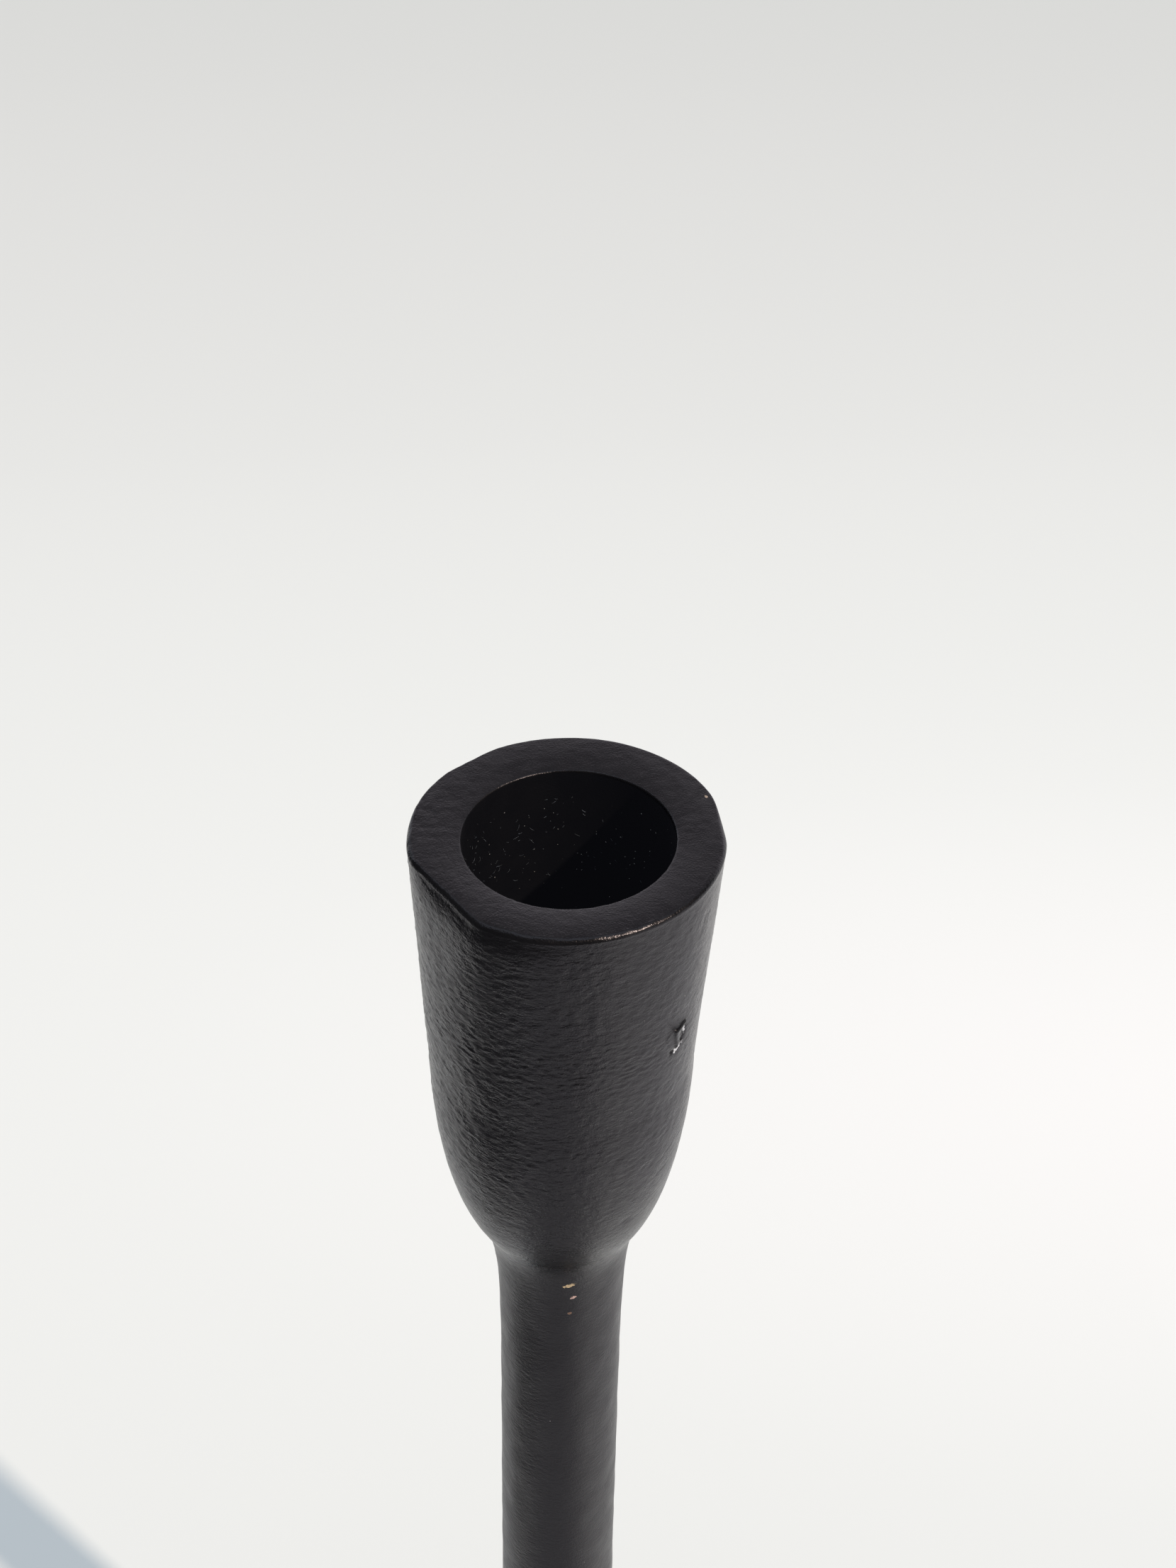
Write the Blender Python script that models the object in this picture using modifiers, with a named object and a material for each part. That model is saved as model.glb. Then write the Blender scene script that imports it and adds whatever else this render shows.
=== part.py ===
"""A cast iron holder for one dinner candle. Metres, +Z up, origin on the table under its axis.

The cup and the stem are one casting. Its trumpet foot drops into a seat in the domed base,
and a hex bolt pulls it down from below, with a plain and a spring washer in a pocket.
Four felt pads under the base keep the iron off the table.
"""

import math

import bmesh
import bpy
from mathutils import Matrix

# The whole holder
HEIGHT = 0.280            # table to rim
GAP = 0.0003              # kept between pieces that touch
TURNED_STEPS = 48         # faces round a turned piece

# Candle socket, for a candle of 22 mm
SOCKET_RADIUS = 0.0112
SOCKET_DEPTH = 0.028
SOCKET_MOUTH_ROUND = 0.0003

# Cup: a straight tapered wall, then an elliptical shoulder down to the neck
RIM_RADIUS = 0.0166
RIM_ROUND = 0.0005
WALL_HEIGHT = 0.030
SHOULDER_RADIUS = 0.0148
SHOULDER_ACROSS = 0.0088  # semi-axes of the ellipse
SHOULDER_DOWN = 0.030
NECK_DEPTH = 0.0572       # rim to the crease where the shoulder meets the neck

# Stem: its fillet under the crease dies away, and its foot flares like a trumpet
STEM_RADIUS = 0.00745
STEM_LOWER_RADIUS = 0.0080
NECK_FADE = 0.0052
NECK_LENGTH = 0.023
FOOT_RADIUS = 0.0145
FOOT_EDGE = 0.0018
FLARE_HEIGHT = 0.022
SPIGOT_RADIUS = 0.0055
SPIGOT_LENGTH = 0.0025

# Base: a solid round plate with a domed top and a pocket for the bolt's head
FELT_THICKNESS = 0.0020
BASE_RADIUS = 0.050
BASE_UNDERSIDE = FELT_THICKNESS + GAP
BASE_EDGE_TOP = 0.0090
BASE_EDGE_ROUND = 0.0016
SEAT_HEIGHT = 0.0170
SEAT_RADIUS = 0.0150
POCKET_RADIUS = 0.012
POCKET_DEPTH = 0.0087

# M6 x 20 hex bolt and its washers
BOLT_RADIUS = 0.0030
BOLT_LENGTH = 0.020
BOLT_TIP_CHAMFER = 0.0006
HEAD_HEIGHT = 0.0040
HEAD_ACROSS_FLATS = 0.010
HEAD_CHAMFER = 0.0006
PLAIN_WASHER = (0.0033, 0.0060, 0.0016)    # bore radius, outer radius, thickness
SPRING_WASHER = (0.0033, 0.0058, 0.0016)
SPRING_WASHER_SPLIT = 0.0010
SPLIT_SLANT = math.radians(20)

# Felt pads
FELT_RADIUS = 0.007
FELT_CIRCLE = 0.038
FELT_COUNT = 4

# Heights that follow from those above
SHOULDER_PLANE = SEAT_HEIGHT + GAP
SPIGOT_END = SHOULDER_PLANE - SPIGOT_LENGTH
POCKET_CEILING = BASE_UNDERSIDE + POCKET_DEPTH
PLAIN_WASHER_TOP = POCKET_CEILING - GAP
SPRING_WASHER_TOP = PLAIN_WASHER_TOP - PLAIN_WASHER[2] - GAP
HEAD_TOP = SPRING_WASHER_TOP - SPRING_WASHER[2] - GAP
BOLT_END = HEAD_TOP + BOLT_LENGTH
TAPPED_END = BOLT_END + 0.003


def clear_scene():
    for found in list(bpy.data.objects):
        bpy.data.objects.remove(found, do_unlink=True)


def new_collection(name):
    made = bpy.data.collections.new(name)
    bpy.context.scene.collection.children.link(made)
    return made


def principled(name, colour, roughness, metallic):
    material = bpy.data.materials.new(name)
    material.use_nodes = True
    shader = material.node_tree.nodes["Principled BSDF"]
    shader.inputs["Base Color"].default_value = (*colour, 1.0)
    shader.inputs["Roughness"].default_value = roughness
    shader.inputs["Metallic"].default_value = metallic
    material.diffuse_color = (*colour, 1.0)
    return material


def arc(centre, radius, start, end, steps):
    """Points (r, z) along an arc, with angles in degrees from +r towards +z."""
    points = []
    for step in range(steps + 1):
        angle = math.radians(start + (end - start) * step / steps)
        points.append((centre[0] + radius * math.cos(angle), centre[1] + radius * math.sin(angle)))
    return points


def turned(name, profile, closed, collection, material=None):
    """A piece turned about Z from (r, z) points that run down its outer side."""
    mesh = bpy.data.meshes.new(name)
    edges = [(i, i + 1) for i in range(len(profile) - 1)]
    if closed:
        edges.append((len(profile) - 1, 0))
    mesh.from_pydata([(r, 0.0, z) for r, z in profile], edges, [])
    piece = bpy.data.objects.new(name, mesh)
    collection.objects.link(piece)
    screw = piece.modifiers.new("turning", "SCREW")
    screw.axis = "Z"
    screw.steps = TURNED_STEPS
    screw.render_steps = TURNED_STEPS
    screw.use_smooth_shade = True
    screw.use_merge_vertices = True
    screw.merge_threshold = 0.00005
    if material:
        mesh.materials.append(material)
    return piece


def cut(piece, cutter, operation="DIFFERENCE"):
    cutter.hide_render = True
    cutter.display_type = "WIRE"
    boolean = piece.modifiers.new(operation.lower(), "BOOLEAN")
    boolean.operation = operation
    boolean.solver = "EXACT"
    boolean.object = cutter


def socket_profile():
    """From the middle of the socket's flat floor, up its wall and over its rounded mouth."""
    floor = HEIGHT - SOCKET_DEPTH
    mouth = (SOCKET_RADIUS + SOCKET_MOUTH_ROUND, HEIGHT - SOCKET_MOUTH_ROUND)
    return [
        (0.0, floor),
        (SOCKET_RADIUS, floor),
        *arc(mouth, SOCKET_MOUTH_ROUND, 180, 90, 2),
    ]


def cup_profile():
    """The rim's rounded edge, the tapered wall and the shoulder, which is part of an ellipse."""
    points = arc((RIM_RADIUS - RIM_ROUND, HEIGHT - RIM_ROUND), RIM_ROUND, 90, 0, 3)
    last = math.asin((NECK_DEPTH - WALL_HEIGHT) / SHOULDER_DOWN)
    steps = 11
    for step in range(steps + 1):
        angle = last * step / steps
        radius = SHOULDER_RADIUS - SHOULDER_ACROSS * (1 - math.cos(angle))
        points.append((radius, HEIGHT - WALL_HEIGHT - SHOULDER_DOWN * math.sin(angle)))
    return points


def neck_profile(crease_radius):
    """A fillet that dies away exponentially below the crease, with its rows closest at the top."""
    points = []
    steps = 7
    for step in range(1, steps + 1):
        fall = NECK_LENGTH * (step / steps) ** 1.7
        radius = STEM_RADIUS + (crease_radius - STEM_RADIUS) * math.exp(-fall / NECK_FADE)
        points.append((radius, HEIGHT - NECK_DEPTH - fall))
    return points


def foot_profile():
    """The trumpet foot, its edge, the flat shoulder, the spigot and the tapped hole."""
    top = SHOULDER_PLANE + FOOT_EDGE + FLARE_HEIGHT
    points = []
    steps = 7
    for step in range(steps + 1):
        angle = 0.5 * math.pi * step / steps
        flare = (FOOT_RADIUS - STEM_LOWER_RADIUS) * (1 - math.cos(angle))
        points.append((STEM_LOWER_RADIUS + flare, top - FLARE_HEIGHT * math.sin(angle)))
    tapped = BOLT_RADIUS + GAP
    return [
        *points,
        (FOOT_RADIUS, SHOULDER_PLANE),
        (SPIGOT_RADIUS, SHOULDER_PLANE),
        (SPIGOT_RADIUS, SPIGOT_END),
        (tapped, SPIGOT_END),
        (tapped, TAPPED_END),
        (0.0, TAPPED_END + tapped / 2),
    ]


def make_cup_and_stem(holder):
    iron = principled("black_paint_on_casting", (0.022, 0.021, 0.023), 0.42, 0.0)
    cup = cup_profile()
    profile = socket_profile() + cup + neck_profile(cup[-1][0]) + foot_profile()
    return turned("cup_and_stem", profile, False, holder, iron)


def base_profile():
    """The seat, the dome, which falls off as a parabola, the rounded edge and the pocket."""
    recess = SPIGOT_RADIUS + GAP
    edge = BASE_RADIUS - BASE_EDGE_ROUND
    points = [(recess, SEAT_HEIGHT)]
    steps = 8
    for step in range(steps + 1):
        part = step / steps
        rise = (SEAT_HEIGHT - BASE_EDGE_TOP) * (1 - part * part)
        points.append((SEAT_RADIUS + (edge - SEAT_RADIUS) * part, BASE_EDGE_TOP + rise))
    points += arc((edge, BASE_EDGE_TOP - BASE_EDGE_ROUND), BASE_EDGE_ROUND, 65, 0, 3)
    points += arc((edge, BASE_UNDERSIDE + BASE_EDGE_ROUND), BASE_EDGE_ROUND, 0, -90, 3)
    return [
        *points,
        (POCKET_RADIUS, BASE_UNDERSIDE),
        (POCKET_RADIUS, POCKET_CEILING),
        (BOLT_RADIUS + GAP, POCKET_CEILING),
        (BOLT_RADIUS + GAP, SPIGOT_END - GAP),
        (recess, SPIGOT_END - GAP),
    ]


def make_base(holder):
    iron = principled("black_paint_on_base", (0.024, 0.023, 0.025), 0.45, 0.0)
    return turned("base", base_profile(), True, holder, iron)


def ring_profile(bore, outer, top, thickness, chamfer):
    return [
        (bore, top),
        (outer - chamfer, top),
        (outer, top - chamfer),
        (outer, top - thickness + chamfer),
        (outer - chamfer, top - thickness),
        (bore, top - thickness),
    ]


def make_plain_washer(holder):
    zinc = principled("zinc_on_plain_washer", (0.60, 0.60, 0.58), 0.35, 1.0)
    bore, outer, thickness = PLAIN_WASHER
    profile = ring_profile(bore, outer, PLAIN_WASHER_TOP, thickness, 0.0002)
    return turned("plain_washer", profile, True, holder, zinc)


def make_spring_washer(holder, cutters):
    """A ring cut through on one side by a slanted slot."""
    zinc = principled("zinc_on_spring_washer", (0.52, 0.52, 0.50), 0.40, 1.0)
    bore, outer, thickness = SPRING_WASHER
    profile = ring_profile(bore, outer, SPRING_WASHER_TOP, thickness, 0.0002)
    washer = turned("spring_washer", profile, True, holder, zinc)
    middle = SPRING_WASHER_TOP - thickness / 2
    mesh = bpy.data.meshes.new("split_cutter")
    shape = bmesh.new()
    bmesh.ops.create_cube(shape, size=1.0)
    size = Matrix.Diagonal((outer, SPRING_WASHER_SPLIT, 4 * thickness, 1.0))
    place = Matrix.Translation((outer, 0.0, middle)) @ Matrix.Rotation(SPLIT_SLANT, 4, "X")
    bmesh.ops.transform(shape, matrix=place @ size, verts=shape.verts)
    shape.to_mesh(mesh)
    shape.free()
    cutter = bpy.data.objects.new("split_cutter", mesh)
    cutters.objects.link(cutter)
    cut(washer, cutter)
    return washer


def make_bolt(holder, cutters):
    """The hexagon's corners are turned off by a chamfer, and the shank ends in a chamfer."""
    zinc = principled("zinc_on_bolt", (0.62, 0.62, 0.60), 0.32, 1.0)
    corner = HEAD_ACROSS_FLATS / math.sqrt(3)
    low = HEAD_TOP - HEAD_HEIGHT
    mesh = bpy.data.meshes.new("base_bolt")
    shape = bmesh.new()
    place = Matrix.Translation((0.0, 0.0, low + HEAD_HEIGHT / 2))
    bmesh.ops.create_cone(
        shape, cap_ends=True, segments=6, radius1=corner, radius2=corner,
        depth=HEAD_HEIGHT, matrix=place,
    )
    shape.to_mesh(mesh)
    shape.free()
    mesh.materials.append(zinc)
    bolt = bpy.data.objects.new("base_bolt", mesh)
    holder.objects.link(bolt)
    trim = [
        (0.0, HEAD_TOP + GAP),
        (corner + HEAD_CHAMFER, HEAD_TOP + GAP),
        (corner + HEAD_CHAMFER, low + HEAD_CHAMFER),
        (HEAD_ACROSS_FLATS / 2 - HEAD_CHAMFER / 2, low),
        (0.0, low),
    ]
    cut(bolt, turned("head_trim", trim, False, cutters), "INTERSECT")
    shank = [
        (0.0, BOLT_END),
        (BOLT_RADIUS - BOLT_TIP_CHAMFER, BOLT_END),
        (BOLT_RADIUS, BOLT_END - BOLT_TIP_CHAMFER),
        (BOLT_RADIUS, HEAD_TOP - HEAD_HEIGHT / 2),
        (0.0, HEAD_TOP - HEAD_HEIGHT / 2),
    ]
    cut(bolt, turned("shank_body", shank, False, cutters), "UNION")
    return bolt


def make_felt_pads(holder):
    """Discs with a softened lower edge, evenly spaced under the base."""
    felt = principled("black_felt", (0.03, 0.03, 0.032), 0.95, 0.0)
    bevel = 0.0003
    profile = [
        (0.0, FELT_THICKNESS),
        (FELT_RADIUS, FELT_THICKNESS),
        (FELT_RADIUS, bevel),
        (FELT_RADIUS - bevel, 0.0),
        (0.0, 0.0),
    ]
    for number in range(FELT_COUNT):
        pad = turned(f"felt_pad_{number + 1}", profile, False, holder, felt)
        pad.modifiers["turning"].steps = TURNED_STEPS // 2
        pad.modifiers["turning"].render_steps = TURNED_STEPS // 2
        turn = 2 * math.pi * number / FELT_COUNT
        pad.location = (FELT_CIRCLE * math.cos(turn), FELT_CIRCLE * math.sin(turn), 0.0)


clear_scene()
holder = new_collection("candle_holder")
cutters = new_collection("cutters")
make_cup_and_stem(holder)
make_base(holder)
make_plain_washer(holder)
make_spring_washer(holder, cutters)
make_bolt(holder, cutters)
make_felt_pads(holder)
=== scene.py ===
import math

import bpy
import numpy as np
from mathutils import Matrix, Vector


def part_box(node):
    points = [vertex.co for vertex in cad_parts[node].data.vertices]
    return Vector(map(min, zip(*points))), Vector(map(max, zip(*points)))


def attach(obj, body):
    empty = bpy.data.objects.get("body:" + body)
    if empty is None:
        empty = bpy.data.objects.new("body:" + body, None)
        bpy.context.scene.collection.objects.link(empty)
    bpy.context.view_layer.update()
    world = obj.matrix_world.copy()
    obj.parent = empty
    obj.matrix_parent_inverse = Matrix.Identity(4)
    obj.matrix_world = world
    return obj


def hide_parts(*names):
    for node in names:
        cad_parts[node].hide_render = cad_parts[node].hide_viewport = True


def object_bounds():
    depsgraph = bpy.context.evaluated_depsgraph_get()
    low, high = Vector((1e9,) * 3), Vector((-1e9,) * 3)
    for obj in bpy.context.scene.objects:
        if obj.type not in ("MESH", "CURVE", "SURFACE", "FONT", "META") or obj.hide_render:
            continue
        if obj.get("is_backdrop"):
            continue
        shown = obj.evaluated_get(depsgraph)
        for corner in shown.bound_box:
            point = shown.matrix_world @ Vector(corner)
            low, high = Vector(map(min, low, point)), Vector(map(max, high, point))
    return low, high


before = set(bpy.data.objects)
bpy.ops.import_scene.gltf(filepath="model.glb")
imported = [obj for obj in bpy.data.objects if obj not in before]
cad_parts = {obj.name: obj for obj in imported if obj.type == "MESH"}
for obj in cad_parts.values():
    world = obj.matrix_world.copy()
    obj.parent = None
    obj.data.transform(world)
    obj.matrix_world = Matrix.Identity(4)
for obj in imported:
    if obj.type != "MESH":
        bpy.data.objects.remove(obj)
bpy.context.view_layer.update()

# ------------------------------------------------------------------ camera
# A camera held by hand a little in front of the cup and above it, looking down on the rim.
# It is level to within about a degree and keeps everything in focus.
RIM_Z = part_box("cup_and_stem")[1].z
CAMERA_PLACE = (0.00206, -0.18162, RIM_Z + 0.14936)
CAMERA_DOWN = math.radians(38.17)
CAMERA_ROLL = math.radians(1.17)

camera = bpy.data.objects.new("camera", bpy.data.cameras.new("camera"))
bpy.context.scene.collection.objects.link(camera)
camera.data.sensor_width = 36.0
camera.data.lens = 52.08
camera.data.clip_start = 0.005
camera.data.clip_end = 20.0
camera.matrix_world = (
    Matrix.Translation(CAMERA_PLACE)
    @ Matrix.Rotation(math.pi / 2 - CAMERA_DOWN, 4, "X")
    @ Matrix.Rotation(CAMERA_ROLL, 4, "Z")
)
bpy.context.scene.camera = camera
bpy.context.scene.view_settings.view_transform = "Standard"

# ------------------------------------------------------------------ table and light
# A white table top whose colour carries a painted pool of light, lit by one warm lamp from the
# right and by a pale cool surround.
# Cards, which only gloss sees, keep the black paint from mirroring a table that is white
# all round.
LAMP_SIDE = math.radians(-40.6)  # the lamp's bearing, counted from +X towards +Y
LAMP_HEIGHT = math.radians(40.0)
LAMP_WIDTH = math.radians(1.6)
LAMP_STRENGTH = 2.44
LAMP_COLOUR = (1.0, 0.853, 0.687)
SURROUND_COLOUR = (0.625, 0.696, 0.754, 1.0)


def node(tree, kind, inputs=None, **settings):
    """A new node, with its settings, and its sockets filled or linked from inputs."""
    made = tree.nodes.new(kind)
    for name, value in settings.items():
        setattr(made, name, value)
    for name, value in (inputs or {}).items():
        if isinstance(value, bpy.types.NodeSocket):
            tree.links.new(value, made.inputs[name])
        else:
            made.inputs[name].default_value = value
    return made


def new_material(name):
    """A new node material, its tree, its Principled shader, and the place on the object."""
    material = bpy.data.materials.new(name)
    material.use_nodes = True
    tree = material.node_tree
    place = node(tree, "ShaderNodeTexCoord").outputs["Object"]
    return material, tree, tree.nodes["Principled BSDF"], place


def maths(tree, operation, *values, clamp=False):
    """A Math node's result, from numbers and sockets."""
    inputs = dict(enumerate(values))
    return node(tree, "ShaderNodeMath", inputs, operation=operation, use_clamp=clamp).outputs[0]


def product(tree, first, *others):
    """The product of a socket with other sockets and numbers."""
    for other in others:
        first = maths(tree, "MULTIPLY", first, other)
    return first


def between(tree, value, low, high, to_low=0.0, to_high=1.0, smooth=True):
    """The value carried from low..high to to_low..to_high, and held at the ends."""
    ends = {"From Min": low, "From Max": high, "To Min": to_low, "To Max": to_high}
    kind = "SMOOTHSTEP" if smooth else "LINEAR"
    made = node(tree, "ShaderNodeMapRange", {"Value": value, **ends}, interpolation_type=kind)
    return made.outputs["Result"]


def mesh_object(name, points, faces, material=None, sharp=None):
    """An object at the origin from points in millimetres and faces of 3 or 4 corners."""
    mesh = bpy.data.meshes.new(name)
    mesh.from_pydata((np.asarray(points) * 0.001).tolist(), [], [list(f) for f in faces])
    mesh.polygons.foreach_set("use_smooth", np.ones(len(mesh.polygons), bool))
    if sharp is not None:
        mesh.set_sharp_from_angle(angle=math.radians(sharp))
    mesh.update()
    made = bpy.data.objects.new(name, mesh)
    bpy.context.scene.collection.objects.link(made)
    if material is not None:
        mesh.materials.append(material)
    return made


def stage_card(name, corners, colour, strength=None):
    """A flat card through four corners in millimetres, seen only by glossy rays. strength,
    if given, makes the glow's strength from the card's node tree."""
    material = bpy.data.materials.new(name)
    material.use_nodes = True
    tree = material.node_tree
    tree.nodes.clear()
    glow = node(tree, "ShaderNodeEmission", {"Color": colour})
    if strength is not None:
        tree.links.new(strength(tree), glow.inputs["Strength"])
    out = node(tree, "ShaderNodeOutputMaterial")
    tree.links.new(glow.outputs[0], out.inputs["Surface"])
    card = mesh_object(name, corners, [(0, 1, 2, 3)], material)
    card.visible_camera = card.visible_diffuse = card.visible_shadow = False
    card.visible_transmission = False
    card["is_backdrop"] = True


def standing(start, end, low, high):
    """The corners of an upright card over the line from start to end."""
    return [(*start, low), (*end, low), (*end, high), (*start, high)]


def lying(near_left, far_right, height):
    """The corners of a level card between two opposite corners."""
    (left, near), (right, far) = near_left, far_right
    return [(x, y, height) for x, y in ((left, near), (right, near), (right, far), (left, far))]


# Painted light: the table's white is painted brightest to the right of the holder and greys with
# distance, as a pool of light would fall.
table_paint, tree, shader, place = new_material("table_white")
centred = node(
    tree,
    "ShaderNodeMapping",
    {"Vector": place, "Location": (0.22, 0.24, 0.0), "Scale": (3.12, 1.2, 1.0)},
    vector_type="TEXTURE",
)
away = node(tree, "ShaderNodeVectorMath", {0: centred.outputs["Vector"]}, operation="LENGTH")
painted_light_falloff = node(tree, "ShaderNodeValToRGB", {"Fac": away.outputs["Value"]})
painted_light_falloff.color_ramp.interpolation = "CARDINAL"
painted_light_falloff.color_ramp.elements[0].color = (0.885, 0.868, 0.878, 1.0)
painted_light_falloff.color_ramp.elements[1].color = (0.600, 0.610, 0.607, 1.0)
for position, white in ((0.11, 0.795), (0.29, 0.715), (0.59, 0.645)):
    painted_light_falloff.color_ramp.elements.new(position).color = (white, white, white, 1.0)
tree.links.new(painted_light_falloff.outputs["Color"], shader.inputs["Base Color"])
shader.inputs["Roughness"].default_value = 0.85
shader.inputs["Specular IOR Level"].default_value = 0.1
TABLE_HALF = 4000.0
table_corners = lying((-TABLE_HALF, -TABLE_HALF), (TABLE_HALF, TABLE_HALF), 0.0)
table = mesh_object("table_top", table_corners, [(0, 1, 2, 3)], table_paint)
table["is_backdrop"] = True

# Grey, dark and pale cards on the table, and dark ones standing to the left, in front and to
# the right. The dark card on the table is narrower in front.
grey_corners = lying((-160.0, -900.0), (90.0, -45.0), 1.0)
stage_card("grey_card_on_table", grey_corners, (0.42, 0.42, 0.43, 1.0))
dark_corners = [(-800.0, -620.0, 2.0), (-160.0, -620.0, 2.0)]
dark_corners += [(-112.0, 4.0, 2.0), (-800.0, 24.0, 2.0)]
stage_card("dark_card_on_table", dark_corners, (0.11, 0.11, 0.115, 1.0))
pale_corners = lying((140.0, -100.0), (400.0, 190.0), 1.5)
stage_card("pale_card_on_table", pale_corners, (0.74, 0.73, 0.74, 1.0))
FRONT_CARDS = -420.0
for name, start, end, low, high, grey in (
    ("dark_card_at_left", (-800.0, -620.0), (-800.0, 700.0), 2.0, 1500.0, 0.04),
    ("dark_card_behind_camera", (-800.0, FRONT_CARDS), (300.0, FRONT_CARDS), 2.0, 1500.0, 0.03),
    ("dark_card_at_right_front", (300.0, FRONT_CARDS), (900.0, FRONT_CARDS), 320.0, 1500.0, 0.03),
    ("dark_card_at_right", (900.0, FRONT_CARDS), (900.0, 480.0), 320.0, 1800.0, 0.04),
):
    stage_card(name, standing(start, end, low, high), (grey, grey, grey, 1.0))


def fading_upwards(tree):
    """The back card's glow: bright low down, faint high up, and stronger to the right."""
    place = node(tree, "ShaderNodeTexCoord").outputs["Object"]
    split = node(tree, "ShaderNodeSeparateXYZ", {"Vector": place})
    rise = between(tree, split.outputs["Z"], 0.55, 1.15, 0.84, 0.20)
    stronger = maths(tree, "MULTIPLY_ADD", split.outputs["X"], 0.25, 1.0)
    return maths(tree, "MULTIPLY", rise, stronger)


stage_card(
    "pale_card_at_back",
    standing((-650.0, 900.0), (1400.0, 900.0), 240.0, 3000.0),
    (1.0, 0.96, 1.02, 1.0),
    fading_upwards,
)

lamp = bpy.data.objects.new("warm_lamp", bpy.data.lights.new("warm_lamp", "SUN"))
bpy.context.scene.collection.objects.link(lamp)
lamp.data.energy = LAMP_STRENGTH
lamp.data.color = LAMP_COLOUR
lamp.data.angle = LAMP_WIDTH
lamp.matrix_world = Matrix.Rotation(LAMP_SIDE, 4, "Z") @ Matrix.Rotation(
    math.pi / 2 - LAMP_HEIGHT, 4, "Y"
)

world = bpy.data.worlds.new("pale_surround")
world.use_nodes = True
world.node_tree.nodes["Background"].inputs["Color"].default_value = SURROUND_COLOUR
bpy.context.scene.world = world

# ------------------------------------------------------------------ cup and stem
# The holder's body: a deep bullet-shaped cup and a slim stem, sand-cast in one piece, with
# the candle's socket drilled from above. It is sprayed satin black, and the paint has dried
# over the sand skin in small leathery wrinkles. A bolt from below draws it onto the base.
SOCKET_RADIUS = 11.2
SOCKET_DEPTH = 28.0
SOCKET_OFFSET = (0.18, -0.26)  # the drill ran a little to the front of the casting's middle
MOUTH_ROUND = 0.20
MOUTH_NOISE = 0.035
RIM_RADIUS = 16.62
RIM_ROUND = 0.65
RIM_CROWN = 0.43  # how far the rim's top falls over its whole width
CROWN_SHARE = 0.78  # where across the rim its top is highest, from the socket outwards
RIM_TILT = 0.018
NEAR_RIM = 12.0
BACK_SHARPNESS = 0.30
CUP_LEAN = 0.3
WALL_DEPTH = 30.0
SHOULDER_RADIUS = 14.8
SHOULDER_ACROSS = 8.8
SHOULDER_DOWN = 30.0
NECK_DEPTH = 57.2
NECK_FADE = 5.2
STEM_RADIUS = 7.45
STEM_LOWER_RADIUS = 8.0
FOOT_RADIUS = 14.5
FOOT_EDGE = 1.8
FLARE_HEIGHT = 22.0
SHOULDER_PLANE = 17.3
SPIGOT_RADIUS = 5.5
SPIGOT_END = 14.8
TAPPED_RADIUS = 3.3
TAPPED_END = 29.9
RIM_HEIGHT = RIM_Z * 1000.0
SWELLING_SIDE = -113.0
SWELLING_HEIGHT = 0.40
SWELLING_TOP = 2.6
WRINKLE_SIDE = -128.0
STEM_NOISE = 0.060
WALL_COLUMNS = 352
SOCKET_COLUMNS = 176
STEM_COLUMNS = 88


def smooth_step(value, low, high):
    """0 below low and 1 above high, with 3t^2 - 2t^3 between; low above high turns it."""
    t = np.clip((value - low) / (high - low), 0.0, 1.0)
    return t * t * (3.0 - 2.0 * t)


def grain(points, size, seed):
    """Gradient noise from about -1 to 1, for points in millimetres and grains of the given
    size along x, y and z. A random direction stands at each corner of a lattice, and the
    value is each corner's direction times the offset from it, weighted along each axis by
    6t^5 - 15t^4 + 10t^3."""
    directions = np.random.default_rng(seed).normal(size=(4096, 3))
    directions /= np.linalg.norm(directions, axis=1, keepdims=True)
    points = points / np.asarray(size, float)
    cell = np.floor(points).astype(np.int64)
    offset = points - cell
    weight = offset**3 * (offset * (6.0 * offset - 15.0) + 10.0)
    total = np.zeros(points.shape[:-1])
    for corner in np.ndindex(2, 2, 2):
        at = (cell + corner) * (73856093, 19349663, 83492791)
        pick = (at[..., 0] ^ at[..., 1] ^ at[..., 2]) % len(directions)
        along = (directions[pick] * (offset - corner)).sum(-1)
        total += along * np.where(corner, weight, 1.0 - weight).prod(-1)
    return 1.6 * total


def arc(radius, height, round_radius, start, end, steps):
    """Points of a quarter round about (radius, height), from one angle to the other."""
    angle = np.radians(np.linspace(start, end, steps))
    return np.stack(
        [radius + round_radius * np.cos(angle), height + round_radius * np.sin(angle)], -1
    )


def around_axis(radius, bearing, height):
    """Points at radii, bearings in radians and heights."""
    across, along = radius * np.cos(bearing), radius * np.sin(bearing)
    return np.stack(np.broadcast_arrays(across, along, height), -1)


def straight(start, end, step):
    """Points along a straight line, about a step apart."""
    start, end = np.asarray(start, float), np.asarray(end, float)
    count = max(2, int(round(np.linalg.norm(end - start) / step)) + 1)
    return start + (end - start) * np.linspace(0.0, 1.0, count)[:, None]


def body_radius(depth):
    """The casting's radius at a depth below the rim: a wall that narrows evenly, a shoulder
    that is part of an ellipse, a neck that dies away as an exponential, and a stem that
    thickens evenly towards its foot."""
    wall = RIM_RADIUS + (SHOULDER_RADIUS - RIM_RADIUS) * np.minimum(depth / WALL_DEPTH, 1.0)
    drop = np.clip((depth - WALL_DEPTH) / SHOULDER_DOWN, 0.0, 0.95)
    shoulder = wall - SHOULDER_ACROSS * (1.0 - np.sqrt(1.0 - drop**2))
    crease_drop = (NECK_DEPTH - WALL_DEPTH) / SHOULDER_DOWN
    crease = SHOULDER_RADIUS - SHOULDER_ACROSS * (1.0 - math.sqrt(1.0 - crease_drop**2))
    thicken = (STEM_LOWER_RADIUS - STEM_RADIUS) * smooth_step(depth, 70.0, 235.0)
    fade = np.exp(-np.maximum(depth - NECK_DEPTH, 0.0) / NECK_FADE)
    neck = STEM_RADIUS + (crease - STEM_RADIUS) * fade + thicken
    return np.where(depth < NECK_DEPTH, shoulder, neck)


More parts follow.
